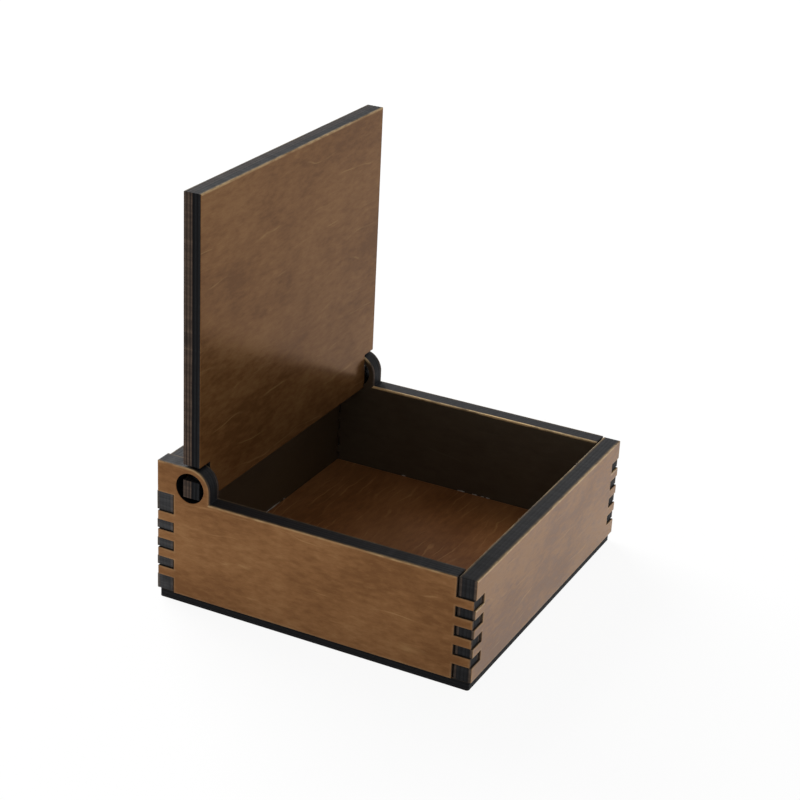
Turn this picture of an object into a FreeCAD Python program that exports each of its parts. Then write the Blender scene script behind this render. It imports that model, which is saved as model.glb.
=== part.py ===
import FreeCAD, Part
import os
from types import SimpleNamespace
import Sketcher

# Laser-cut plywood box with a hinged lid, lid upright. Millimetres, +Z up, front towards -Y.
# The origin is the centre of the base plate's underside.
# Every panel is drawn flat as it is cut from the sheet, then stood in its place.

SHEET_ROWS = (
    ("width", 103.4, "over the outer faces of the side walls"),
    ("depth", 100.0, "over the outer faces of the front and back walls"),
    ("wall_height", 31.2, "walls, from the base plate to the rim"),
    ("ply", 5.4, "plywood of the walls and the lid"),
    ("base_ply", 2.8, "plywood of the base plate and the floor panel"),
    ("base_inset", 0.7, "base plate inside the wall faces"),
    ("base_corner", 0.8, "radius of the base plate's corners"),
    ("floor_gap", 0.2, "floor panel to a wall"),
    ("bottom_finger", 4.7, "height of the lowest finger of the front and back walls"),
    ("finger", 2.94, "height of a middle finger and of a middle notch"),
    ("finger_rows", 4, "fingers of a side wall at each corner"),
    ("finger_short", 0.5, "a finger ends this far inside the face it shows on"),
    ("notch_gap", 0.4, "free space between a notch's end and the wall behind it"),
    ("cut_gap", 0.08, "width that the cut takes from each side of a finger"),
    ("overcut", 1.0, "notch outlines run this far past the panel's edge"),
    ("pivot_back", 11.5, "back face to the lid's pivot axis"),
    ("hole_rise", 3.55, "rim to the centre of the pivot hole"),
    ("hole_radius", 4.5, "pivot hole in an ear"),
    ("ear_radius", 6.2, "round front of an ear, about the pivot hole"),
    ("pivot_drop", 0.45, "pivot tab's centre below the hole's centre, as it lies in the loose hole"),
    ("pivot_forward", 0.35, "pivot tab's centre in front of the hole's centre"),
    ("back_drop", 1.1, "top of the ears to the top of the back wall"),
    ("ear_gap", 0.2, "back wall to an ear"),
    ("lid_reach", 86.85, "pivot axis to the lid's free edge"),
    ("lid_shoulder", 7.25, "pivot axis to the lid's shoulders"),
    ("lid_tail", 4.05, "pivot axis to the lid's back edge"),
    ("lid_inset", 0.4, "lid's sides inside the side walls' outer faces"),
    ("neck_gap", 0.5, "lid's neck to an ear"),
    ("tab_recess", 0.2, "end of a pivot tab inside the ear's outer face"),
)


class Size:
    """A length: its value in millimetres and the expression that drives it."""

    def __init__(self, value, text):
        self.value = value
        self.text = text

    def __add__(self, other):
        return Size(self.value + other.value, f"({self.text} + {other.text})")

    def __sub__(self, other):
        return Size(self.value - other.value, f"({self.text} - {other.text})")

    def __mul__(self, number):
        return Size(self.value * number, f"({self.text} * {number})")

    def __neg__(self):
        return self * -1


def make_sheet(doc):
    """Fill the spreadsheet and return its sizes by name."""
    sheet = doc.addObject("Spreadsheet::Sheet", "Sizes")
    sizes = {}
    for row, (alias, value, note) in enumerate(SHEET_ROWS, start=1):
        sheet.set(f"A{row}", alias)
        sheet.set(f"B{row}", str(value))
        sheet.set(f"C{row}", note)
        sheet.setAlias(f"B{row}", alias)
        sizes[alias] = Size(value, f"Sizes.{alias}")
    doc.recompute()
    return SimpleNamespace(**sizes)


def make_body(doc, label, x=None, y=None, z=None):
    """Start a panel whose own origin is placed by the given sizes."""
    body = doc.addObject("PartDesign::Body", label)
    body.Label = label
    for axis, size in (("x", x), ("y", y), ("z", z)):
        if size is not None:
            body.setExpression(f"Placement.Base.{axis}", size.text)
    return body


def make_sketch(body, name, role):
    """Start a sketch on one of the body's own origin planes."""
    sketch = body.newObject("Sketcher::SketchObject", name)
    plane = next(item for item in body.Origin.OriginFeatures if item.Role == role)
    sketch.AttachmentSupport = (plane, [""])
    sketch.MapMode = "FlatFace"
    return sketch


def bind_constraint(sketch, constraint, size):
    index = sketch.addConstraint(constraint)
    sketch.setExpression(f"Constraints[{index}]", size.text)


def draw_loop(sketch, edges):
    """Closed outline of level and upright edges, each held at its own distance from the origin.

    Edges alternate ("level", height) and ("upright", distance); a distance of None lies on the axis.
    """
    first = sketch.GeometryCount
    count = len(edges)
    at = [0.0 if size is None else size.value for _, size in edges]
    corners = []
    for i in range(count):
        if edges[i][0] == "level":
            corners.append(FreeCAD.Vector(at[i - 1], at[i], 0))
        else:
            corners.append(FreeCAD.Vector(at[i], at[i - 1], 0))
    for i in range(count):
        sketch.addGeometry(Part.LineSegment(corners[i], corners[(i + 1) % count]))
    for i, (kind, size) in enumerate(edges):
        line = first + i
        following = first + (i + 1) % count
        sketch.addConstraint(Sketcher.Constraint("Coincident", line, 2, following, 1))
        sketch.addConstraint(Sketcher.Constraint("Horizontal" if kind == "level" else "Vertical", line))
        if size is None:
            sketch.addConstraint(Sketcher.Constraint("PointOnObject", line, 1, -1 if kind == "level" else -2))
        else:
            distance = "DistanceY" if kind == "level" else "DistanceX"
            bind_constraint(sketch, Sketcher.Constraint(distance, -1, 1, line, 1, size.value), size)


def draw_rectangle(sketch, left, right, bottom, top):
    draw_loop(sketch, (("level", bottom), ("upright", right), ("level", top), ("upright", left)))


def draw_pair(sketch, inner, outer, bottom, top):
    """The same rectangle at both ends of a panel."""
    draw_rectangle(sketch, inner, outer, bottom, top)
    draw_rectangle(sketch, -outer, -inner, bottom, top)


def draw_circle(sketch, x, y, radius):
    centre = FreeCAD.Vector(x.value, y.value, 0)
    circle = sketch.addGeometry(Part.Circle(centre, FreeCAD.Vector(0, 0, 1), radius.value))
    bind_constraint(sketch, Sketcher.Constraint("DistanceX", -1, 1, circle, 3, x.value), x)
    bind_constraint(sketch, Sketcher.Constraint("DistanceY", -1, 1, circle, 3, y.value), y)
    bind_constraint(sketch, Sketcher.Constraint("Radius", circle, radius.value), radius)


def pad(body, name, sketch, thickness):
    feature = body.newObject("PartDesign::Pad", name)
    feature.Profile = sketch
    feature.setExpression("Length", thickness.text)
    body.Document.recompute()
    return feature


def cut_through(body, name, sketch):
    """Pocket through the panel, towards the side that the pad fills."""
    before = body.Shape.Volume
    feature = body.newObject("PartDesign::Pocket", name)
    feature.Profile = sketch
    feature.Type = "ThroughAll"
    feature.Reversed = True
    body.Document.recompute()
    if body.Shape.Volume > before - 1.0:
        raise RuntimeError(f"{name} on {body.Label} cuts nothing")
    return feature


def repeat_up(body, name, feature, pitch, count_text):
    """Repeat a pocket upwards in equal steps."""
    before = body.Shape.Volume
    pattern = body.newObject("PartDesign::LinearPattern", name)
    pattern.Originals = [feature]
    pattern.Direction = (feature.Profile[0], ["V_Axis"])
    pattern.Mode = "Spacing"
    pattern.setExpression("Offset", pitch.text)
    pattern.setExpression("Occurrences", count_text)
    body.Tip = pattern
    body.Document.recompute()
    if body.Shape.Volume > before - 1.0:
        raise RuntimeError(f"{name} on {body.Label} repeats nothing")
    return pattern


def round_edges(body, name, base, radius, wanted):
    """Fillet the straight edges whose middle point the test accepts."""
    edges = base.Shape.Edges
    chosen = [f"Edge{i}" for i, edge in enumerate(edges, start=1) if wanted(edge.CenterOfMass)]
    feature = body.newObject("PartDesign::Fillet", name)
    feature.Base = (base, chosen)
    feature.setExpression("Radius", radius.text)
    body.Tip = feature
    body.Document.recompute()
    return feature


def joint_line(s, number):
    """Height above the wall's foot of the numbered line between two fingers, counted from 1."""
    return s.bottom_finger + s.finger * (number - 1)


def make_side_wall(doc, s, label, x):
    """Side wall: rim, ear with its pivot hole, and notches for the fingers of the front and back walls."""
    body = make_body(doc, label, x=x, z=s.base_ply)
    end = s.depth * 0.5 - s.finger_short
    hole_y = s.depth * 0.5 - s.pivot_back + s.pivot_forward
    hole_z = s.wall_height + s.hole_rise
    ear_front = hole_y - s.ear_radius
    ear_top = hole_z + s.ear_radius

    outline = make_sketch(body, f"{label}_outline", "YZ_Plane")
    draw_loop(outline, (
        ("level", None), ("upright", end), ("level", ear_top),
        ("upright", ear_front), ("level", s.wall_height), ("upright", -end),
    ))
    panel = pad(body, f"{label}_panel", outline, s.ply)

    def at_ear_corner(point):
        return abs(point.y - ear_front.value) < 0.01 and abs(point.z - ear_top.value) < 0.01

    round_edges(body, f"{label}_ear_round", panel, s.ear_radius, at_ear_corner)

    hole = make_sketch(body, f"{label}_hole", "YZ_Plane")
    draw_circle(hole, hole_y, hole_z, s.hole_radius)
    cut_through(body, f"{label}_pivot_hole", hole)

    notch_end = s.depth * 0.5 - s.ply - s.notch_gap
    past_end = end + s.overcut
    top_line = joint_line(s, 2 * s.finger_rows.value)
    corner = make_sketch(body, f"{label}_corner_outline", "YZ_Plane")
    draw_pair(corner, notch_end, past_end, -s.overcut, joint_line(s, 1) + s.cut_gap)
    draw_rectangle(corner, notch_end, past_end, top_line - s.cut_gap, s.wall_height + s.cut_gap)
    draw_rectangle(corner, -past_end, -notch_end, top_line - s.cut_gap, s.wall_height + s.overcut)
    cut_through(body, f"{label}_corner_notches", corner)

    notch = make_sketch(body, f"{label}_notch_outline", "YZ_Plane")
    draw_pair(notch, notch_end, past_end, joint_line(s, 2) - s.cut_gap, joint_line(s, 3) + s.cut_gap)
    lowest = cut_through(body, f"{label}_notch", notch)
    repeat_up(body, f"{label}_notches", lowest, s.finger * 2, f"{s.finger_rows.text} - 1")
    return body


def cut_finger_rows(body, s):
    """Notches at both ends of a front or back wall, for the fingers of the side walls."""
    notch_end = s.width * 0.5 - s.ply - s.notch_gap
    past_end = s.width * 0.5 - s.finger_short + s.overcut
    notch = make_sketch(body, f"{body.Label}_notch_outline", "XZ_Plane")
    draw_pair(notch, notch_end, past_end, joint_line(s, 1) - s.cut_gap, joint_line(s, 2) + s.cut_gap)
    lowest = cut_through(body, f"{body.Label}_notch", notch)
    repeat_up(body, f"{body.Label}_notches", lowest, s.finger * 2, s.finger_rows.text)


def make_front_wall(doc, s):
    """Front wall: a plain panel with fingers at both ends."""
    body = make_body(doc, "front_wall", y=s.ply - s.depth * 0.5, z=s.base_ply)
    end = s.width * 0.5 - s.finger_short
    outline = make_sketch(body, "front_wall_outline", "XZ_Plane")
    draw_rectangle(outline, -end, end, None, s.wall_height)
    pad(body, "front_wall_panel", outline, s.ply)
    cut_finger_rows(body, s)
    return body


def make_back_wall(doc, s):
    """Back wall: as the front wall, with an upper part that stands between the ears."""
    body = make_body(doc, "back_wall", y=s.depth * 0.5, z=s.base_ply)
    end = s.width * 0.5 - s.finger_short
    upper_end = s.width * 0.5 - s.ply - s.ear_gap
    top = s.wall_height + s.hole_rise + s.ear_radius - s.back_drop
    outline = make_sketch(body, "back_wall_outline", "XZ_Plane")
    draw_loop(outline, (
        ("level", None), ("upright", end), ("level", s.wall_height), ("upright", upper_end),
        ("level", top), ("upright", -upper_end), ("level", s.wall_height), ("upright", -end),
    ))
    pad(body, "back_wall_panel", outline, s.ply)
    cut_finger_rows(body, s)
    return body


def make_base_plate(doc, s):
    """Base plate: thinner panel that the four walls stand on."""
    body = make_body(doc, "base_plate")
    half_width = s.width * 0.5 - s.base_inset
    half_depth = s.depth * 0.5 - s.base_inset
    outline = make_sketch(body, "base_plate_outline", "XY_Plane")
    draw_rectangle(outline, -half_width, half_width, -half_depth, half_depth)
    panel = pad(body, "base_plate_panel", outline, s.base_ply)

    def at_corner(point):
        return abs(abs(point.x) - half_width.value) < 0.01 and abs(abs(point.y) - half_depth.value) < 0.01

    round_edges(body, "base_plate_corners", panel, s.base_corner, at_corner)
    return body


def make_floor_panel(doc, s):
    """Floor panel: lies on the base plate, between the four walls."""
    body = make_body(doc, "floor_panel", z=s.base_ply)
    half_width = s.width * 0.5 - s.ply - s.floor_gap
    half_depth = s.depth * 0.5 - s.ply - s.floor_gap
    outline = make_sketch(body, "floor_panel_outline", "XY_Plane")
    draw_rectangle(outline, -half_width, half_width, -half_depth, half_depth)
    pad(body, "floor_panel_sheet", outline, s.base_ply)
    return body


def make_lid(doc, s):
    """Lid, upright, drawn about its pivot axis: panel, shoulders, neck between the ears and pivot tabs."""
    axis_y = s.depth * 0.5 - s.pivot_back
    axis_z = s.base_ply + s.wall_height + s.hole_rise - s.pivot_drop
    body = make_body(doc, "lid", y=axis_y + s.ply * 0.5, z=axis_z)
    side = s.width * 0.5 - s.lid_inset
    neck = s.width * 0.5 - s.ply - s.neck_gap
    tab_end = s.width * 0.5 - s.tab_recess

    outline = make_sketch(body, "lid_outline", "XZ_Plane")
    draw_loop(outline, (
        ("level", -s.lid_tail), ("upright", neck), ("level", s.lid_shoulder), ("upright", side),
        ("level", s.lid_reach), ("upright", -side), ("level", s.lid_shoulder), ("upright", -neck),
    ))
    pad(body, "lid_panel", outline, s.ply)

    tabs = make_sketch(body, "lid_tab_outline", "XZ_Plane")
    draw_pair(tabs, neck, tab_end, s.ply * -0.5, s.ply * 0.5)
    pad(body, "lid_tabs", tabs, s.ply)
    return body


def check_document(doc, bodies):
    """Stop if anything failed to build."""
    for item in doc.Objects:
        if "Invalid" in item.State or "Error" in item.State:
            raise RuntimeError(f"{item.Name} failed: {item.State}")
    for body in bodies:
        if body.Shape.isNull() or not body.Shape.isValid() or len(body.Shape.Solids) != 1:
            raise RuntimeError(f"{body.Label} isn't one sound solid")


def main():
    doc = FreeCAD.newDocument("HingedBox")
    s = make_sheet(doc)
    bodies = [
        make_base_plate(doc, s),
        make_floor_panel(doc, s),
        make_side_wall(doc, s, "left_side_wall", s.width * -0.5),
        make_side_wall(doc, s, "right_side_wall", s.width * 0.5 - s.ply),
        make_front_wall(doc, s),
        make_back_wall(doc, s),
        make_lid(doc, s),
    ]
    doc.recompute()
    check_document(doc, bodies)
    os.makedirs("parts", exist_ok=True)
    for body in bodies:
        body.Shape.exportStep(f"parts/{body.Label}.step")


main()
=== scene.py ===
import math
from collections import namedtuple

import bpy
import numpy as np
from bpy.props import FloatProperty, FloatVectorProperty, PointerProperty
from bpy.types import Operator, Panel, PropertyGroup
from mathutils import Matrix, Vector
from mathutils.geometry import delaunay_2d_cdt


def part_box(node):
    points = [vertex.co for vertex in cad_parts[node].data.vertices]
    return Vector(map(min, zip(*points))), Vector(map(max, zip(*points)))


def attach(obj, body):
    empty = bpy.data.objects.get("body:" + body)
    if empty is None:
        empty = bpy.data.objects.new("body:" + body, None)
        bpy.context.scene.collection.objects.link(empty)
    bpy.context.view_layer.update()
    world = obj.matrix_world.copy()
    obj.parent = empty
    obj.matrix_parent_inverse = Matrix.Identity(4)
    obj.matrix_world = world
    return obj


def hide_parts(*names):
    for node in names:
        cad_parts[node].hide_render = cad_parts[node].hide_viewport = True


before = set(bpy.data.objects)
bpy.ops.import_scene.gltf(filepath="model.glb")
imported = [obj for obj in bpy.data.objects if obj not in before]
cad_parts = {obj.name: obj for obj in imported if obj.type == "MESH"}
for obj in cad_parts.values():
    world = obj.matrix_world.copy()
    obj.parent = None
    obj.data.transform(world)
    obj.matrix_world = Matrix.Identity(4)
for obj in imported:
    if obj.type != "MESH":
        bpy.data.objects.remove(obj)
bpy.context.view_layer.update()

bl_info = {
    "name": "Hinged Plywood Box",
    "version": (1, 0, 0),
    "blender": (4, 5, 0),
    "location": "View3D > Sidebar > Plywood Box",
    "description": "Dresses the laser-cut panels of a small stained box with an upright hinged lid",
    "category": "Object",
}

MM = 0.001
VENEERS = 5

# Width of a pale growth line at its foot.
LINE_WIDTH = 0.6 * MM

# How far the texture of a low and of a high face is moved per count of its panel's seed, so that the panels
# differ.
LOW_SHIFT = 0.37
HIGH_SHIFT = 0.53

# The lamps' places, the point they face and the length of their sides, in metres.
RIGHT_LAMP = (1.55, -0.15, 0.72)
BACK_LAMP = (0.75, 1.40, 0.95)
LAMP_AIM = (0.0, 0.0, 0.04)
LAMP_SIZE = 1.3

# How one face is finished: factors on its stain's colour, which paint in light on some walls and shade on
# others, its sheen, its roughness, the share of coloured gleam from the wood's fibres, the strength and
# spacing of its pale growth lines, and the strength of its mottling.
Finish = namedtuple("Finish", "tone sheen rough gleam figure pitch mottle")

# How far the arrises round one face have lost their stain: along the rim, and along the other edges.
Wear = namedtuple("Wear", "rim side")


def colour(name, text, default):
    """A linear colour that a user may change."""
    return FloatVectorProperty(name=name, description=text, subtype="COLOR", size=3, min=0.0, max=1.0,
                               default=default)


def length(name, text, default):
    """A length in metres that a user may change."""
    return FloatProperty(name=name, description=text, unit="LENGTH", subtype="DISTANCE", min=0.0, precision=5,
                         default=default)


class PlywoodSettings(PropertyGroup):
    """Sizes and colours of the stained sheet and its burnt cut edges."""

    arris: length("Arris", "Radius of the sanded arris between a face and a cut edge", 0.15 * MM)
    arris_wear: length("Arris wear", "How much further the arris is worn back in places", 0.12 * MM)
    corner: length("Corner", "Radius of an outline's corners, as the beam turns", 0.16 * MM)
    glue_groove: length("Glue groove", "Depth of the burnt glue lines in a cut edge", 0.035 * MM)
    step: length("Step", "Distance between points along a straight part of an outline", 1.0 * MM)
    stain_mid: colour("Stain", "Usual colour of the stained faces", (0.207, 0.097, 0.037))
    stain_dark: colour("Dark stain", "Where the veneer took up more stain", (0.156, 0.069, 0.025))
    stain_light: colour("Light stain", "Where the veneer took up less stain", (0.252, 0.126, 0.051))
    figure: colour("Figure", "Pale growth lines of the veneer", (0.440, 0.265, 0.115))
    bare: colour("Bare wood", "Sanded arrises where the stain is gone", (0.700, 0.500, 0.260))
    char: colour("Char", "Burnt cut edges", (0.009, 0.009, 0.010))
    char_grey: colour("Grey char", "Burnt veneers that kept a little ash", (0.022, 0.023, 0.025))
    char_brown: colour("Brown char", "Veneers that the beam only browned", (0.138, 0.094, 0.069))
    ash: colour("Ash", "Ends of fingers where ash was left", (0.100, 0.100, 0.102))
    burnt_glue: colour("Burnt glue", "Glue lines between the veneers", (0.005, 0.005, 0.006))
    dried_glue: colour("Dried glue", "Glue left along the floor's seams", (0.420, 0.410, 0.385))


class StageSettings(PropertyGroup):
    """Camera, light and floor."""

    azimuth: FloatProperty(name="Azimuth", description="Camera's turn about the box, from the front",
                           subtype="ANGLE", default=math.radians(-63.986))
    elevation: FloatProperty(name="Elevation", description="Camera's height above the horizon",
                             subtype="ANGLE", default=math.radians(24.019))
    roll: FloatProperty(name="Roll", description="Camera's turn about its own line of sight",
                        subtype="ANGLE", default=math.radians(2.843))
    distance: length("Distance", "Camera to the point it looks at", 567.773 * MM)
    target: FloatVectorProperty(name="Target", description="Point that the camera looks at", subtype="XYZ",
                                unit="LENGTH", size=3, default=(-1.523 * MM, -0.472 * MM, 55.402 * MM))
    lens: FloatProperty(name="Lens", description="Focal length in millimetres on a 36 mm wide sensor",
                        default=88.714)
    right_power: FloatProperty(name="Right softbox", description="Power of the lamp at the box's right",
                               unit="POWER", default=4.0)
    back_power: FloatProperty(name="Back softbox", description="Power of the lamp behind the box",
                              unit="POWER", default=62.0)
    fill: FloatProperty(name="Fill", description="Strength of the even light from the room", default=0.35)
    floor: colour("Floor", "Colour of the floor", (0.900, 0.900, 0.900))
    floor_white: FloatProperty(name="Floor white", description="Share of plain white in the floor's look",
                               subtype="FACTOR", min=0.0, max=1.0, default=0.93)


# Outlines and panels


def panel_outlines(node, axis):
    """Closed outlines of a flat panel, as corners in its own plane, the outer one first.

    The triangles on the panel's high face are taken from the frame, and the edges that only one of them has
    are walked end to end, so an outline has its wood on its left.
    """
    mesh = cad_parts[node].data
    points = np.empty(len(mesh.vertices) * 3)
    mesh.vertices.foreach_get("co", points)
    points = points.reshape(-1, 3)
    mesh.calc_loop_triangles()
    triangles = np.empty(len(mesh.loop_triangles) * 3, dtype=np.int32)
    mesh.loop_triangles.foreach_get("vertices", triangles)
    triangles = triangles.reshape(-1, 3)
    triangles = triangles[(points[triangles, axis] > points[:, axis].max() - 1e-6).all(axis=1)]
    flat = np.round(points[:, [(axis + 1) % 3, (axis + 2) % 3]], 6)
    places, index = np.unique(flat, axis=0, return_inverse=True)
    triangles = index.reshape(-1)[triangles]
    edges = np.concatenate([triangles[:, pair] for pair in ([0, 1], [1, 2], [2, 0])])
    forward = edges[:, 0] * len(places) + edges[:, 1]
    backward = edges[:, 1] * len(places) + edges[:, 0]
    following = dict(edges[~np.isin(forward, backward)].tolist())
    outlines = []
    while following:
        start, at = following.popitem()
        walk = [start]
        while at != start:
            walk.append(at)
            at = following.pop(at)
        corners = places[walk]
        before = corners - np.roll(corners, 1, axis=0)
        after = np.roll(corners, -1, axis=0) - corners
        turn = np.abs(before[:, 0] * after[:, 1] - before[:, 1] * after[:, 0])
        straight = turn < 0.004 * np.linalg.norm(before, axis=1) * np.linalg.norm(after, axis=1)
        outlines.append(corners[~straight])
    return sorted(outlines, key=lambda corners: -np.ptp(corners[:, 0]) * np.ptp(corners[:, 1]))


class OutlinePath:
    """A closed outline as a curve that can be moved inwards.

    The corners are moved along their mitres by the inset. Each corner is then rounded by a parabola between
    two points on its edges, and the straight parts between are divided evenly. Corners that turn little
    belong to an arc, and their parabolas meet at the middles of the edges, which makes the arc smooth.
    """

    def __init__(self, corners, radius, step):
        self.corners = corners
        self.radius = radius
        edges = np.roll(corners, -1, axis=0) - corners
        spans = np.linalg.norm(edges, axis=1)
        ways = edges / spans[:, None]
        self.out_way = ways
        self.in_way = np.roll(ways, 1, axis=0)
        out_side = np.stack([self.out_way[:, 1], -self.out_way[:, 0]], axis=1)
        in_side = np.stack([self.in_way[:, 1], -self.in_way[:, 0]], axis=1)
        cosine = (out_side * in_side).sum(axis=1)
        self.mitre = (out_side + in_side) / (1.0 + cosine)[:, None]
        self.soft = cosine > math.cos(math.radians(35))
        cross = self.in_way[:, 0] * self.out_way[:, 1] - self.in_way[:, 1] * self.out_way[:, 0]
        self.convex = cross > 0
        in_arc = self.soft & np.roll(self.soft, -1)
        rounds = 5
        count = np.where(in_arc, 0, np.maximum(np.ceil(spans / step), 1).astype(int))
        number = np.arange(len(corners))
        self.corner_at = np.repeat(number, rounds)
        self.corner_t = np.tile((np.arange(rounds) + 0.5) / rounds, len(corners))
        self.edge_at = np.repeat(number, count)
        within = np.arange(count.sum()) - np.repeat(np.cumsum(count) - count, count)
        self.edge_t = (within + 0.5) / np.maximum(np.repeat(count, count), 1)
        self.order = np.argsort(np.concatenate([self.corner_at + 0.4 * self.corner_t,
                                                self.edge_at + 0.5 + 0.4 * self.edge_t]), kind="stable")
        self.size = len(self.order)

    def at(self, inset):
        """Points of the curve that lies the given distance inside the outline."""
        corners = self.corners - inset * self.mitre
        spans = np.linalg.norm(np.roll(corners, -1, axis=0) - corners, axis=1)
        room = np.minimum(spans, np.roll(spans, 1))
        sharp = np.where(self.convex, np.maximum(self.radius - inset, 0.02 * MM), self.radius)
        reach = np.where(self.soft, 0.5 * room, np.minimum(sharp, 0.3 * room))[:, None]
        first = corners - reach * self.in_way
        last = corners + reach * self.out_way
        t = self.corner_t[:, None]
        i = self.corner_at
        rounded = (1 - t) ** 2 * first[i] + 2 * t * (1 - t) * corners[i] + t ** 2 * last[i]
        s = self.edge_t[:, None]
        j = self.edge_at
        straight = (1 - s) * last[j] + s * np.roll(first, -1, axis=0)[j]
        return np.concatenate([rounded, straight])[self.order]

    def sides(self):
        """Unit vectors that point away from the wood at each point of the outline."""
        points = self.at(0.0)
        along = np.roll(points, -1, axis=0) - np.roll(points, 1, axis=0)
        along /= np.linalg.norm(along, axis=1)[:, None]
        return np.stack([along[:, 1], -along[:, 0]], axis=1)

    def run(self):
        """Distance along the outline at each point, as a share of its whole length, and that length."""
        points = self.at(0.0)
        steps = np.linalg.norm(np.roll(points, -1, axis=0) - points, axis=1)
        return (np.cumsum(steps) - steps) / steps.sum(), steps.sum()


def uneven(run, whole, seed):
    """A smooth value from 0 to 1 round a closed outline: sines with whole numbers of waves in its length."""
    rng = np.random.default_rng(seed)
    waves = np.unique(np.round(whole / (np.array([61.0, 37.0, 23.0, 14.0, 9.0, 5.0]) * MM)).astype(int) + 1)
    phases = rng.uniform(0, 2 * math.pi, len(waves))
    weights = 1.0 / np.sqrt(np.arange(len(waves)) + 1.0)
    angles = 2 * math.pi * waves[:, None] * run[None] + phases[:, None]
    total = (weights[:, None] * np.sin(angles)).sum(axis=0)
    return np.clip(0.5 + 0.924 * total / weights.sum(), 0.0, 1.0)


def edge_profile(thickness, ply):
    """Rows of a panel's section from one face round its cut edge to the other face.

    Each row has its inset from the outline, its depth through the sheet and three weights: how far it belongs
    to the cut edge, to the arris at the low face and to the arris at the high face. The faces run flat to the
    arris, a quarter circle turns to the cut edge, and each burnt glue line is a narrow bell-shaped groove.
    """
    arris = ply.arris
    angles = np.radians([8.0, 30.0, 60.0, 82.0])
    round_inset = arris * (1 - np.sin(angles))
    round_depth = arris * (1 - np.cos(angles))
    lines = np.arange(1, VENEERS) / VENEERS
    places = np.sort(np.concatenate([lines + offset for offset in (-0.06, -0.022, 0.0, 0.022, 0.06)]))
    places = np.concatenate([[0.09], places, [0.91]])
    groove = np.exp(-((places[:, None] - lines[None]) / 0.02) ** 2).sum(axis=1) * ply.glue_groove
    face = np.array([0.70, 0.52, 0.38, 0.24]) * MM
    inset = np.concatenate([face, round_inset, groove, round_inset[::-1], face[::-1]])
    low = np.concatenate([face * 0, round_depth])
    depth = np.concatenate([low, places * thickness, thickness - low[::-1]])
    cut = np.concatenate([face * 0, [0.0, 0.25, 0.75, 1.0], places * 0 + 1, [1.0, 0.75, 0.25, 0.0], face * 0])
    worn = np.concatenate([[0.0, 0.35, 0.80, 1.0, 1.0, 1.0, 1.0, 0.8, 0.2], np.zeros(len(inset) - 9)])
    return inset, depth, cut, worn, worn[::-1]


def smooth(low, high, value):
    """A smooth step from 0 at low to 1 at high."""
    t = np.clip((value - low) / (high - low), 0.0, 1.0)
    return t * t * (3 - 2 * t)


def fill_face(flat, rings):
    """Triangles that fill the space between closed rings of points, facing up in the plane of the points."""
    index = np.concatenate(rings)
    starts = np.cumsum([0] + [len(ring) for ring in rings])
    edges = []
    for first, last in zip(starts[:-1], starts[1:]):
        number = np.arange(first, last)
        edges += np.stack([number, np.roll(number, -1)], axis=1).tolist()
    spots = [Vector(spot) for spot in (flat[index] / MM).tolist()]
    _, _, faces, origins, _, _ = delaunay_2d_cdt(spots, edges, [], 1, 1e-7)
    number = np.array([origin[0] for origin in origins])
    faces = index[number[np.array(faces)]]
    within = np.zeros(len(faces), dtype=int)
    middle = flat[faces].mean(axis=1)
    for ring in rings:
        a = flat[ring][None]
        b = np.roll(flat[ring], -1, axis=0)[None]
        crosses = (a[..., 1] > middle[:, 1:]) != (b[..., 1] > middle[:, 1:])
        with np.errstate(divide="ignore", invalid="ignore"):
            at = a[..., 0] + (middle[:, 1:] - a[..., 1]) * (b[..., 0] - a[..., 0]) / (b[..., 1] - a[..., 1])
        within += (crosses & (middle[:, :1] < at)).sum(axis=1)
    faces = faces[within % 2 == 1]
    a, b, c = (flat[faces[:, k]] for k in range(3))
    turned = (b - a)[:, 0] * (c - a)[:, 1] < (b - a)[:, 1] * (c - a)[:, 0]
    faces[turned] = faces[turned][:, ::-1]
    return faces


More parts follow.
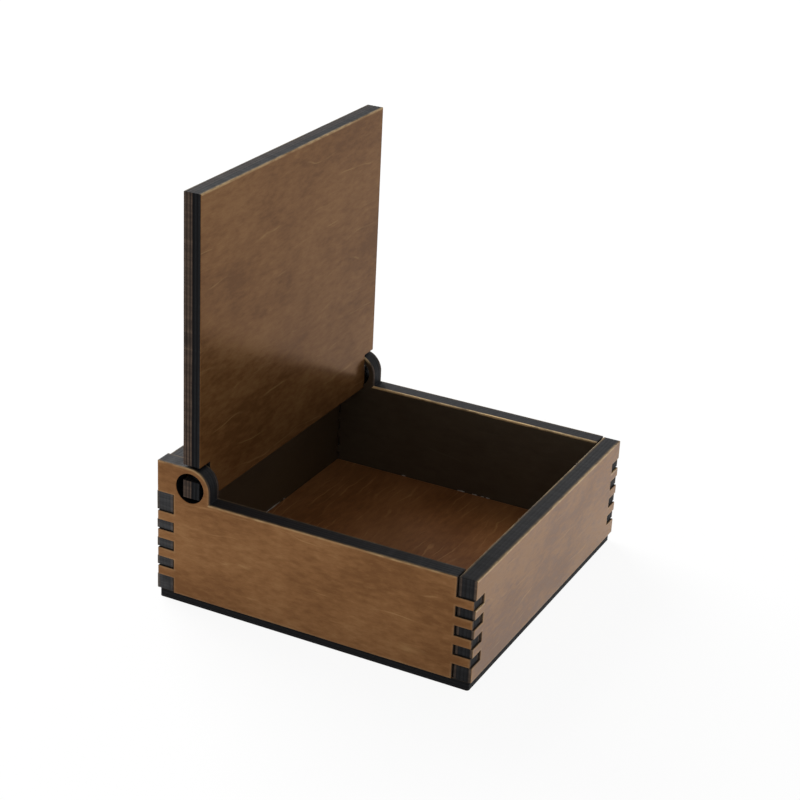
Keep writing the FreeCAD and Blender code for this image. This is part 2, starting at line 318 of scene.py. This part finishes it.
def cut_panel(name, node, axis, ply, wear_low, wear_high, seed):
    """A laser-cut panel in place of a frame node, with its section carried along its outlines.

    A point is the outline moved in by the section's inset, at the section's depth through the sheet. Arrises
    are worn back unevenly, most along the rim: the edges that face up in the upper part of a panel. The faces
    are filled inside the innermost rows. Layer is the place through the sheet, bare is how far an arris has
    lost its stain, and browned is 1 on cut edges that don't face up and 0 on those that do, where the cut
    edge's material paints shade. The material slots are the low face, the outer cut edge, the high face and
    the cut edges of holes.
    """
    low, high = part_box(node)
    thickness = high[axis] - low[axis]
    inset, depth, cut, low_arris, high_arris = edge_profile(thickness, ply)
    rows = len(inset)
    slots = np.where(cut[:-1] + cut[1:] > 1.1, 1, np.where(depth[:-1] < thickness / 2, 0, 2))
    points, layers, bares, browned, quads, caps, quad_slots = [], [], [], [], [], [], []
    start = 0
    for number, corners in enumerate(panel_outlines(node, axis)):
        path = OutlinePath(corners, ply.corner, ply.step)
        run, whole = path.run()
        side = path.sides()
        up = np.full(path.size, -1.0)
        height = np.zeros(path.size)
        if axis < 2:
            upright = 1 - axis
            up = side[:, upright]
            height = (path.at(0.0)[:, upright] - low[2]) / (high[2] - low[2])
        rim = smooth(0.5, 0.95, up) * smooth(0.62, 0.72, height)
        rub = [uneven(run, whole, seed + 10 * number + k) for k in range(2)]
        grid = np.stack([path.at(d) for d in inset])
        arris = low_arris[:, None] * rub[0][None] + high_arris[:, None] * rub[1][None]
        on_arris = ((cut > 0) & (cut < 1))[:, None]
        pushed = arris * on_arris * ply.arris_wear * 0.7 * (0.2 + 0.8 * rim)[None]
        grid = grid - pushed[:, :, None] * side[None]
        inwards = np.where(depth < thickness / 2, 1.0, -1.0)[:, None]
        through = low[axis] + depth[:, None] + pushed * inwards
        solid = np.empty((rows, path.size, 3))
        solid[:, :, axis] = through
        solid[:, :, (axis + 1) % 3] = grid[:, :, 0]
        solid[:, :, (axis + 2) % 3] = grid[:, :, 1]
        points.append(solid.reshape(-1, 3))
        layers.append(np.repeat(depth / thickness, path.size))
        quad_slots.append(np.repeat(np.where((slots == 1) & (number > 0), 3, slots), path.size))
        bare = np.zeros((rows, path.size))
        for face, amount, wear in ((low_arris, rub[0], wear_low), (high_arris, rub[1], wear_high)):
            lost = (0.35 + 0.65 * amount) * (wear.rim * rim + wear.side * (1 - rim)) * (number == 0)
            bare += face[:, None] * lost[None]
        bares.append(bare.reshape(-1))
        # 1 on cut edges that face sideways, 0 on those that face up, which burnt_edge paints near black as
        # painted shade.
        browned.append(np.tile(1 - smooth(0.2, 0.8, up), rows))
        here = start + np.arange(rows * path.size).reshape(rows, path.size)
        beside = np.roll(here, -1, axis=1)
        quads.append(np.stack([here[:-1], here[1:], beside[1:], beside[:-1]], axis=-1).reshape(-1, 4))
        caps.append((here[0], here[-1]))
        start += rows * path.size
    points = np.concatenate(points)
    quads = np.concatenate(quads)
    plane = [(axis + 1) % 3, (axis + 2) % 3]
    bottom = fill_face(points[:, plane], [cap[0] for cap in caps])[:, ::-1]
    top = fill_face(points[:, plane], [cap[1] for cap in caps])
    mesh = bpy.data.meshes.new(name)
    mesh.from_pydata(points.tolist(), [], quads[:, ::-1].tolist() + bottom.tolist() + top.tolist())
    slots = np.concatenate([*quad_slots, np.full(len(bottom), 0), np.full(len(top), 2)])
    mesh.polygons.foreach_set("material_index", slots.astype(np.int32))
    for label, values in (("layer", layers), ("bare", bares), ("browned", browned)):
        mesh.attributes.new(label, "FLOAT", "POINT").data.foreach_set("value", np.concatenate(values))
    mesh.validate()
    mesh.polygons.foreach_set("use_smooth", np.ones(len(mesh.polygons), dtype=bool))
    mesh.set_sharp_from_angle(angle=math.radians(40))
    panel = bpy.data.objects.new(name, mesh)
    bpy.context.scene.collection.objects.link(panel)
    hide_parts(node)
    return panel


# Finishes


class NodeTree:
    """Short calls that add and join the nodes of one material."""

    def __init__(self, name):
        self.material = bpy.data.materials.new(name)
        self.material.use_nodes = True
        self.tree = self.material.node_tree
        self.shader = self.tree.nodes["Principled BSDF"]

    def add(self, kind, inputs=(), **settings):
        node = self.tree.nodes.new(kind)
        for key, value in settings.items():
            setattr(node, key, value)
        for key, value in dict(inputs).items():
            self.feed(node.inputs[key], value)
        return node

    def feed(self, socket, value):
        if isinstance(value, bpy.types.NodeSocket):
            self.tree.links.new(value, socket)
        elif socket.type == "RGBA" and len(value) == 3:
            socket.default_value = (*value, 1.0)
        else:
            socket.default_value = value

    def place(self, scale, turn=(0.0, 0.0, 0.0), shift=(0.0, 0.0, 0.0)):
        """Object coordinates, turned and then stretched per axis."""
        coords = self.add("ShaderNodeTexCoord").outputs["Object"]
        turned = self.add("ShaderNodeMapping", {"Vector": coords, "Rotation": turn, "Location": shift})
        return self.add("ShaderNodeMapping", {"Vector": turned.outputs[0], "Scale": scale}).outputs[0]

    def noise(self, vector, scale=1.0, detail=2.0, roughness=0.5, distortion=0.0):
        made = self.add("ShaderNodeTexNoise", {"Vector": vector, "Scale": scale, "Detail": detail,
                                               "Roughness": roughness, "Distortion": distortion})
        return made.outputs["Fac"]

    def bands(self, vector, across, bend):
        """Parallel bands whose phase grows along one axis, bent by a noise; 1 at the middle of each band."""
        inputs = {"Vector": vector, "Scale": 1.0, "Distortion": bend, "Detail": 3.0, "Detail Scale": 1.0,
                  "Detail Roughness": 0.55}
        made = self.add("ShaderNodeTexWave", inputs, wave_type="BANDS", bands_direction="XYZ"[across])
        return made.outputs["Fac"]

    def math(self, operation, a, b=0.5, c=0.5):
        return self.add("ShaderNodeMath", {0: a, 1: b, 2: c}, operation=operation).outputs[0]

    def span(self, value, low, high, to_low=0.0, to_high=1.0):
        """The value from low to high brought smoothly to another range."""
        made = self.add("ShaderNodeMapRange", {"Value": value, "From Min": low, "From Max": high,
                                               "To Min": to_low, "To Max": to_high},
                        interpolation_type="SMOOTHSTEP")
        return made.outputs["Result"]

    def mix(self, share, a, b, blend="MIX"):
        made = self.add("ShaderNodeMix", {0: share, 6: a, 7: b}, data_type="RGBA", blend_type=blend)
        return made.outputs[2]

    def attribute(self, name):
        return self.add("ShaderNodeAttribute", attribute_name=name).outputs["Fac"]

    def ramp(self, value, stops):
        made = self.add("ShaderNodeValToRGB", {"Fac": value})
        elements = made.color_ramp.elements
        while len(elements) < len(stops):
            elements.new(0.5)
        for element, (position, rgb) in zip(elements, stops):
            element.position = position
            element.color = (*rgb, 1.0)
        return made.outputs["Color"]

    def bump(self, height, strength, distance, normal=None):
        inputs = {"Height": height, "Strength": strength, "Distance": distance}
        if normal is not None:
            inputs["Normal"] = normal
        return self.add("ShaderNodeBump", inputs).outputs["Normal"]


def blended(a, b, share):
    """A colour between two others."""
    return tuple((1 - share) * x + share * y for x, y in zip(a, b))


def bare_arris(n, ply, surface, spot):
    """Bare wood over a surface, where the arris has lost its stain."""
    rub = n.span(n.noise(spot, detail=3.0), 0.30, 0.62, 0.45, 1.0)
    return n.mix(n.math("MULTIPLY", n.attribute("bare"), rub), surface, ply.bare)


def painted_shade_on_tabs(n, ply, surface):
    """Painted shade in char black on the lid's tabs, as far out as the side walls and below their tops."""
    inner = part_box("right_side_wall")[0].x
    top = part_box("right_side_wall")[1].z
    place = n.add("ShaderNodeSeparateXYZ", {0: n.add("ShaderNodeTexCoord").outputs["Object"]})
    outward = n.span(n.math("ABSOLUTE", place.outputs["X"]), inner - 0.5 * MM, inner)
    below = n.span(place.outputs["Z"], top - 2.0 * MM, top, 1.0, 0.0)
    return n.mix(n.math("MULTIPLY", outward, below), surface, ply.char)


def stained_face(name, ply, axis, grain, finish, shift, painted_shade_over=None):
    """Stained birch veneer.

    It has broad and fine mottling, fibres along the grain and pale growth lines: the middles of bent bands
    along the grain, broken by a second field. Bare wood shows on worn arrises, and a function given last may
    paint shade over a part of the face. Slow waves, raised grain and the fibres turn its surface a little.
    """
    n = NodeTree(name)
    offset = (shift, shift * 0.7, shift * 1.3)
    dark, mid, light, pale = (tuple(a * b for a, b in zip(stain, finish.tone)) for stain in
                              (ply.stain_dark, ply.stain_mid, ply.stain_light, ply.figure))

    def stretched(along, across):
        scale = [across, across, across]
        scale[grain] = along
        return n.place(tuple(scale), shift=offset)

    broad = n.noise(stretched(26.0, 46.0), detail=3.0, roughness=0.55)
    fine = n.noise(stretched(230.0, 700.0), detail=4.0, roughness=0.65)
    fibres = n.noise(stretched(420.0, 4200.0), detail=2.0, roughness=0.6)
    tone = n.math("ADD", n.math("MULTIPLY", broad, 0.55), n.math("MULTIPLY", fine, 0.45))
    tone = n.math("MULTIPLY_ADD", tone, finish.mottle, 0.5 - 0.5 * finish.mottle)
    face = n.ramp(tone, ((0.36, dark), (0.50, mid), (0.64, light)))
    face = n.mix(n.span(fibres, 0.40, 0.72, 0.0, 0.30), face, dark)
    scale = 0.1 * math.pi / finish.pitch
    bands = n.bands(stretched(0.4 * scale, scale), 3 - axis - grain, 9.0)
    lines = n.span(bands, 0.5 + 0.5 * math.cos(math.pi * LINE_WIDTH / finish.pitch), 1.0)
    broken = n.span(n.noise(stretched(70.0, 120.0), detail=2.0), 0.48, 0.70)
    face = n.mix(n.math("MULTIPLY", n.math("MULTIPLY", lines, broken), finish.figure), face, pale)
    # Painted shade laid over a part of the face, when given.
    if painted_shade_over:
        face = painted_shade_over(n, ply, face)
    n.feed(n.shader.inputs["Base Color"], bare_arris(n, ply, face, stretched(330.0, 330.0)))
    n.feed(n.shader.inputs["Roughness"], n.span(fine, 0.30, 0.70, finish.rough - 0.04, finish.rough + 0.04))
    n.feed(n.shader.inputs["Metallic"], finish.gleam)
    n.feed(n.shader.inputs["Specular IOR Level"], finish.sheen)
    waves = n.bump(n.noise(stretched(22.0, 30.0), detail=1.0), 0.5, 0.5 * MM)
    raised = n.bump(fine, 0.5, 0.05 * MM, waves)
    n.feed(n.shader.inputs["Normal"], n.bump(fibres, 0.8 * finish.rough, 0.02 * MM, raised))
    return n.material


def burnt_edge(name, ply, axis, stops, ash=0.0, rough=0.55):
    """Cut edge that the beam burnt.

    It shows its veneers by their depth, wandering a little, with fine marks that the beam left through the
    sheet, blacker patches, a share of ash where it doesn't face up, and bare wood on worn arrises. Where it
    faces up it is painted mostly char black, a painted shade.
    """
    n = NodeTree(name)

    def even(scale):
        return n.place((scale, scale, scale))

    wander = n.math("MULTIPLY_ADD", n.noise(even(90.0), detail=2.0), 0.06, -0.03)
    edge = n.ramp(n.math("ADD", n.attribute("layer"), wander), stops)
    # Painted shade: where the edge faces up, its veneers give way to char black.
    edge = n.mix(n.span(n.attribute("browned"), 0.0, 1.0, 0.85, 0.0), edge, ply.char)
    edge = n.mix(n.math("MULTIPLY", n.attribute("browned"), ash), edge, ply.ash)
    through = [700.0, 700.0, 700.0]
    through[axis] = 40.0
    beam = n.noise(n.place(tuple(through)), detail=3.0, roughness=0.65)
    edge = n.mix(n.span(beam, 0.35, 0.70, 0.40, 0.0), edge, ply.burnt_glue)
    patches = n.noise(even(140.0), detail=2.0)
    edge = n.mix(n.span(patches, 0.50, 0.75, 0.0, 0.45), edge, ply.char)
    n.feed(n.shader.inputs["Base Color"], bare_arris(n, ply, edge, even(330.0)))
    n.feed(n.shader.inputs["Roughness"], n.span(beam, 0.30, 0.70, rough - 0.07, rough + 0.07))
    n.feed(n.shader.inputs["Specular IOR Level"], 0.06)
    n.feed(n.shader.inputs["Normal"], n.bump(beam, 0.5, 0.08 * MM))
    return n.material


def soot(name, ply):
    """Dull soot inside a pivot hole, uneven by a fine noise."""
    n = NodeTree(name)
    cloud = n.noise(n.place((800.0, 800.0, 800.0)), detail=3.0)
    n.feed(n.shader.inputs["Base Color"], n.mix(n.span(cloud, 0.35, 0.70), ply.burnt_glue, ply.char))
    n.feed(n.shader.inputs["Roughness"], n.span(cloud, 0.30, 0.70, 0.85, 0.95))
    n.feed(n.shader.inputs["Specular IOR Level"], 0.0)
    return n.material


def wall_stops(ply):
    """Veneer colours through a wall's sheet, from its low face to its high face."""
    return (
        (0.00, ply.char_brown), (0.13, ply.char_brown), (0.19, ply.burnt_glue), (0.23, ply.char),
        (0.36, ply.char_grey), (0.41, ply.burnt_glue), (0.46, ply.char_grey), (0.56, ply.char_grey),
        (0.60, ply.burnt_glue), (0.66, ply.char), (0.76, ply.char_grey), (0.81, ply.burnt_glue),
        (0.88, ply.char_brown), (1.00, ply.char),
    )


def lid_stops(ply):
    """Veneer colours through the lid's sheet: dark towards the inner face, browned towards the outer face."""
    return (
        (0.00, ply.char_grey), (0.10, ply.char_grey), (0.20, ply.burnt_glue), (0.30, ply.char_grey),
        (0.40, ply.burnt_glue), (0.47, ply.char), (0.52, ply.char_brown), (0.58, ply.char_brown),
        (0.61, ply.burnt_glue), (0.67, ply.char_brown), (0.77, ply.char_brown), (0.80, ply.burnt_glue),
        (0.86, ply.char_brown), (1.00, blended(ply.char_brown, ply.char, 0.5)),
    )


def thin_stops(ply):
    """Veneer colours through the thin sheet."""
    return (
        (0.00, ply.char), (0.30, ply.char_grey), (0.34, ply.burnt_glue), (0.40, ply.char),
        (0.62, ply.char_grey), (0.67, ply.burnt_glue), (0.75, ply.char), (1.00, ply.char),
    )


def finish_piece(piece, finishes, body):
    """Give a piece its finishes and let it move with its body."""
    for material in finishes:
        piece.data.materials.append(material)
    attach(piece, body)
    return piece


# Operators


class BOX_OT_walls(Operator):
    """Cut and finish the four walls"""

    bl_idname = "box.walls"
    bl_label = "Walls"

    def execute(self, context):
        ply = context.scene.plywood
        stops = wall_stops(ply)
        # Painted light: the outer faces of the near side wall and of the front wall take a stain lighter than
        # the lid's, the front's also warmer, standing in for light that the lamps don't give them.
        near = Finish(tone=(1.25, 1.25, 1.25), sheen=0.05, rough=0.36, gleam=0.30, figure=0.30,
                      pitch=8.0 * MM, mottle=1.3)
        outer = Finish(tone=(1.02, 1.02, 1.02), sheen=0.04, rough=0.48, gleam=0.10, figure=0.30,
                       pitch=8.0 * MM, mottle=1.0)
        front = Finish(tone=(1.32, 1.28, 1.00), sheen=0.42, rough=0.36, gleam=0.34, figure=0.35,
                       pitch=7.0 * MM, mottle=2.4)
        # Painted shade: the inner faces take a darker, greyer stain standing in for the shade inside the box,
        # and the back wall's inner face, below the lid, is painted darker still.
        inner = Finish(tone=(0.23, 0.34, 0.48), sheen=0.46, rough=0.55, gleam=0.0, figure=0.20,
                       pitch=8.0 * MM, mottle=1.0)
        shade = Finish(tone=(0.17, 0.21, 0.21), sheen=0.34, rough=0.55, gleam=0.0, figure=0.20,
                       pitch=8.0 * MM, mottle=1.0)
        rows = (
            ("left_side_wall", 0, 1, near, inner, Wear(0.55, 0.14), Wear(0.25, 0.0), 0.10, 11),
            ("right_side_wall", 0, 1, inner, outer, Wear(2.2, 0.0), Wear(0.30, 0.14), 0.10, 12),
            ("front_wall", 1, 0, front, inner, Wear(0.9, 0.25), Wear(0.70, 0.0), 0.16, 13),
            ("back_wall", 1, 0, shade, outer, Wear(0.40, 0.0), Wear(0.35, 0.14), 0.62, 14),
        )
        for node, axis, grain, low, high, wear_low, wear_high, ash, seed in rows:
            words = node.replace("_", " ")
            panel = cut_panel(f"{node}_panel", node, axis, ply, wear_low, wear_high, seed)
            finishes = [
                stained_face(f"low face of {words}", ply, axis, grain, low, seed * LOW_SHIFT),
                burnt_edge(f"burnt edge of {words}", ply, axis, stops, ash),
                stained_face(f"high face of {words}", ply, axis, grain, high, seed * HIGH_SHIFT),
            ]
            # Only the side walls have pivot holes.
            if axis == 0:
                finishes.append(soot(f"soot in {words}", ply))
            finish_piece(panel, finishes, "box")
        return {"FINISHED"}


class BOX_OT_bottom(Operator):
    """Cut and finish the base plate and the floor panel"""

    bl_idname = "box.bottom"
    bl_label = "Base and Floor"

    def execute(self, context):
        ply = context.scene.plywood
        plain = Finish(tone=(1.10, 1.10, 1.10), sheen=0.05, rough=0.42, gleam=0.10, figure=0.30,
                       pitch=8.0 * MM, mottle=1.0)
        floor = Finish(tone=(0.96, 0.82, 0.70), sheen=0.05, rough=0.42, gleam=0.10, figure=0.38,
                       pitch=3.0 * MM, mottle=1.2)
        for node, finish, seed in (("base_plate", plain, 21), ("floor_panel", floor, 22)):
            words = node.replace("_", " ")
            panel = cut_panel(f"{node}_panel", node, 2, ply, Wear(0.0, 0.06), Wear(0.0, 0.06), seed)
            face = stained_face(f"stained {words}", ply, 2, 0, finish, seed * LOW_SHIFT)
            edge = burnt_edge(f"burnt edge of {words}", ply, 2, thin_stops(ply))
            finish_piece(panel, (face, edge, face), "box")
        return {"FINISHED"}


class BOX_OT_lid(Operator):
    """Cut and finish the lid with its pivot tabs"""

    bl_idname = "box.lid"
    bl_label = "Lid"

    def execute(self, context):
        ply = context.scene.plywood
        seed = 31
        panel = cut_panel("lid_panel", "lid", 1, ply, Wear(0.70, 0.0), Wear(0.30, 0.0), seed)
        satin = Finish(tone=(1.0, 0.99, 0.90), sheen=0.03, rough=0.22, gleam=0.36, figure=0.32,
                       pitch=8.0 * MM, mottle=1.3)
        outer = Finish(tone=(0.94, 0.94, 0.94), sheen=0.03, rough=0.52, gleam=0.08, figure=0.30,
                       pitch=8.0 * MM, mottle=1.0)
        # Both faces of the lid get painted shade, in char black, on the tabs where they sit in the pivot
        # holes.
        inside = stained_face("inner face of lid", ply, 1, 0, satin, seed * LOW_SHIFT, painted_shade_on_tabs)
        outside = stained_face("outer face of lid", ply, 1, 0, outer, seed * HIGH_SHIFT, painted_shade_on_tabs)
        edge = burnt_edge("burnt edge of lid", ply, 1, lid_stops(ply), rough=0.72)
        finish_piece(panel, (inside, edge, outside), "lid")
        return {"FINISHED"}


class BOX_OT_glue(Operator):
    """Lay the dried glue along the floor's seams"""

    bl_idname = "box.glue"
    bl_label = "Seam Glue"

    def execute(self, context):
        ply = context.scene.plywood
        floor_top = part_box("floor_panel")[1].z
        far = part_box("right_side_wall")[0].x
        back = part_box("back_wall")[0].y
        ends = (
            ((far, 20.2 * MM, floor_top), (0, 1, 0), 0.7 * MM, 0.16 * MM),
            ((far, -0.3 * MM, floor_top), (0, 1, 0), 1.3 * MM, 0.17 * MM),
            ((far, -5.1 * MM, floor_top), (0, 1, 0), 0.9 * MM, 0.15 * MM),
            ((far, -7.8 * MM, floor_top), (0, 1, 0), 0.6 * MM, 0.13 * MM),
            ((far, -9.7 * MM, floor_top), (0, 1, 0), 0.7 * MM, 0.14 * MM),
            ((4.6 * MM, back, floor_top), (1, 0, 0), 4.6 * MM, 0.17 * MM),
            ((11.6 * MM, back, floor_top), (1, 0, 0), 0.6 * MM, 0.13 * MM),
        )
        bead = glue_beads(ends)
        finish_piece(bead, (dried_glue(ply),), "box")
        return {"FINISHED"}


def glue_beads(rows):
    """Beads of dried glue, each a long ellipsoid along a seam.

    Along the bead its radius follows the sine of half a turn to the power 0.7, uneven by two more sines;
    across it is a circle.
    """
    around, along = 12, 25
    angle = np.linspace(0, 2 * math.pi, around, endpoint=False)
    turn = np.linspace(0, math.pi, along)
    up = np.array([0.0, 0.0, 1.0])
    points, faces = [], []
    for number, (centre, way, half, radius) in enumerate(rows):
        way = np.array(way, float)
        across = np.cross(up, way)
        swell = 1 + 0.25 * np.sin(5 * turn + number) + 0.12 * np.sin(13 * turn)
        size = radius * np.sin(turn) ** 0.7 * swell
        size[[0, -1]] = 0.0
        spine = np.array(centre)[None] - half * np.cos(turn)[:, None] * way[None]
        ring = np.cos(angle)[None, :, None] * across + np.sin(angle)[None, :, None] * up
        grid = spine[:, None] + size[:, None, None] * ring
        start = sum(len(p) for p in points)
        inner = grid[1:-1].reshape(-1, 3)
        points.append(np.concatenate([grid[:1, 0], inner, grid[-1:, 0]]))
        here = start + 1 + np.arange((along - 2) * around).reshape(along - 2, around)
        beside = np.roll(here, -1, axis=1)
        strip = np.stack([here[:-1], here[1:], beside[1:], beside[:-1]], axis=-1).reshape(-1, 4)
        first, last = start, start + 1 + (along - 2) * around
        tip = np.stack([np.full(around, first), here[0], beside[0]], axis=-1)
        tail = np.stack([np.full(around, last), beside[-1], here[-1]], axis=-1)
        faces += [face[::-1] for face in strip.tolist() + tip.tolist() + tail.tolist()]
    mesh = bpy.data.meshes.new("seam_glue")
    mesh.from_pydata(np.concatenate(points).tolist(), [], faces)
    mesh.validate()
    mesh.polygons.foreach_set("use_smooth", np.ones(len(mesh.polygons), dtype=bool))
    bead = bpy.data.objects.new("seam_glue", mesh)
    bpy.context.scene.collection.objects.link(bead)
    return bead


def dried_glue(ply):
    """Dull pale glue, cloudy in places."""
    n = NodeTree("dried glue")
    cloud = n.noise(n.place((900.0, 900.0, 900.0)), detail=2.0)
    n.feed(n.shader.inputs["Base Color"], n.mix(n.span(cloud, 0.35, 0.65), ply.dried_glue,
                                                 blended(ply.dried_glue, ply.stain_mid, 0.45)))
    n.feed(n.shader.inputs["Roughness"], n.span(cloud, 0.3, 0.7, 0.30, 0.50))
    return n.material


class BOX_OT_stage(Operator):
    """Set the floor, the lamps, the room and the camera"""

    bl_idname = "box.stage"
    bl_label = "Stage"

    def execute(self, context):
        stage = context.scene.box_stage
        scene = context.scene
        scene.view_settings.view_transform = "Standard"
        lay_floor(stage)
        light_room(scene, stage)
        hang_lamp("right_softbox", RIGHT_LAMP, stage.right_power)
        hang_lamp("back_softbox", BACK_LAMP, stage.back_power)
        set_camera(scene, stage)
        return {"FINISHED"}


def seen_ray(tree):
    """1 for rays that show the background: from the camera, in gloss and through glass."""
    path = tree.nodes.new("ShaderNodeLightPath")
    value = path.outputs["Is Camera Ray"]
    for label in ("Is Glossy Ray", "Is Transmission Ray"):
        larger = tree.nodes.new("ShaderNodeMath")
        larger.operation = "MAXIMUM"
        tree.links.new(value, larger.inputs[0])
        tree.links.new(path.outputs[label], larger.inputs[1])
        value = larger.outputs[0]
    return value


def lay_floor(stage):
    """Flat pale floor. Most of what is seen of it is plain white, and the rest keeps a soft shadow."""
    half, rows = 4.0, 9
    line = np.linspace(-half, half, rows)
    x, y = np.meshgrid(line, line)
    points = np.stack([x, y, np.zeros_like(x)], axis=-1).reshape(-1, 3)
    here = np.arange(rows * rows).reshape(rows, rows)
    quads = np.stack([here[:-1, :-1], here[:-1, 1:], here[1:, 1:], here[1:, :-1]], axis=-1).reshape(-1, 4)
    mesh = bpy.data.meshes.new("floor")
    mesh.from_pydata(points.tolist(), [], quads.tolist())
    floor = bpy.data.objects.new("floor", mesh)
    bpy.context.scene.collection.objects.link(floor)
    n = NodeTree("pale floor")
    n.feed(n.shader.inputs["Base Color"], tuple(stage.floor))
    n.feed(n.shader.inputs["Roughness"], 0.9)
    n.feed(n.shader.inputs["Specular IOR Level"], 0.1)
    white = n.add("ShaderNodeEmission", {"Color": (1.0, 1.0, 1.0), "Strength": 1.0})
    share = n.math("MULTIPLY", seen_ray(n.tree), stage.floor_white)
    both = n.add("ShaderNodeMixShader", {0: share, 1: n.shader.outputs[0], 2: white.outputs[0]})
    n.tree.links.new(both.outputs[0], n.tree.nodes["Material Output"].inputs["Surface"])
    mesh.materials.append(n.material)


def light_room(scene, stage):
    """Even light from the room; the camera and gloss see plain white."""
    world = bpy.data.worlds.new("room")
    world.use_nodes = True
    tree = world.node_tree
    output = tree.nodes["World Output"]
    dim = tree.nodes["Background"]
    dim.inputs["Color"].default_value = (1.0, 1.0, 1.0, 1.0)
    dim.inputs["Strength"].default_value = stage.fill
    white = tree.nodes.new("ShaderNodeBackground")
    white.inputs["Color"].default_value = (1.0, 1.0, 1.0, 1.0)
    both = tree.nodes.new("ShaderNodeMixShader")
    tree.links.new(seen_ray(tree), both.inputs[0])
    tree.links.new(dim.outputs[0], both.inputs[1])
    tree.links.new(white.outputs[0], both.inputs[2])
    tree.links.new(both.outputs[0], output.inputs["Surface"])
    scene.world = world


def hang_lamp(name, place, power):
    """Square soft lamp that faces the box."""
    data = bpy.data.lights.new(name, "AREA")
    data.shape = "SQUARE"
    data.size = LAMP_SIZE
    data.energy = power
    lamp = bpy.data.objects.new(name, data)
    lamp.location = place
    lamp.rotation_euler = (Vector(LAMP_AIM) - Vector(place)).to_track_quat("-Z", "Y").to_euler()
    bpy.context.scene.collection.objects.link(lamp)


def set_camera(scene, stage):
    """Camera on a sphere about its target, rolled about its line of sight."""
    a, e, r = stage.azimuth, stage.elevation, stage.roll
    back = Vector((math.sin(a) * math.cos(e), -math.cos(a) * math.cos(e), math.sin(e)))
    right = Vector((0.0, 0.0, 1.0)).cross(back).normalized()
    up = back.cross(right)
    side = math.cos(r) * right + math.sin(r) * up
    top = math.cos(r) * up - math.sin(r) * right
    place = Vector(stage.target) + back * stage.distance
    data = bpy.data.cameras.new("photo_view")
    data.sensor_width = 36.0
    data.lens = stage.lens
    data.clip_start = 0.01
    camera = bpy.data.objects.new("photo_view", data)
    camera.matrix_world = Matrix((
        (side.x, top.x, back.x, place.x),
        (side.y, top.y, back.y, place.y),
        (side.z, top.z, back.z, place.z),
        (0.0, 0.0, 0.0, 1.0),
    ))
    scene.collection.objects.link(camera)
    scene.camera = camera


class BOX_PT_sidebar(Panel):
    """Lists the pieces of the box and what can be changed"""

    bl_idname = "BOX_PT_sidebar"
    bl_label = "Plywood Box"
    bl_space_type = "VIEW_3D"
    bl_region_type = "UI"
    bl_category = "Plywood Box"

    def draw(self, context):
        column = self.layout.column()
        for step in STEPS:
            column.operator(step.bl_idname)
        for group in (context.scene.plywood, context.scene.box_stage):
            for name in group.__annotations__:
                column.prop(group, name)


STEPS = (BOX_OT_walls, BOX_OT_bottom, BOX_OT_lid, BOX_OT_glue, BOX_OT_stage)
CLASSES = (PlywoodSettings, StageSettings, *STEPS, BOX_PT_sidebar)


def register():
    for item in CLASSES:
        bpy.utils.register_class(item)
    bpy.types.Scene.plywood = PointerProperty(type=PlywoodSettings)
    bpy.types.Scene.box_stage = PointerProperty(type=StageSettings)


def unregister():
    del bpy.types.Scene.box_stage
    del bpy.types.Scene.plywood
    for item in reversed(CLASSES):
        bpy.utils.unregister_class(item)


def main():
    """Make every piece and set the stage."""
    register()
    bpy.ops.box.walls()
    bpy.ops.box.bottom()
    bpy.ops.box.lid()
    bpy.ops.box.glue()
    bpy.ops.box.stage()


if __name__ == "__main__":
    main()
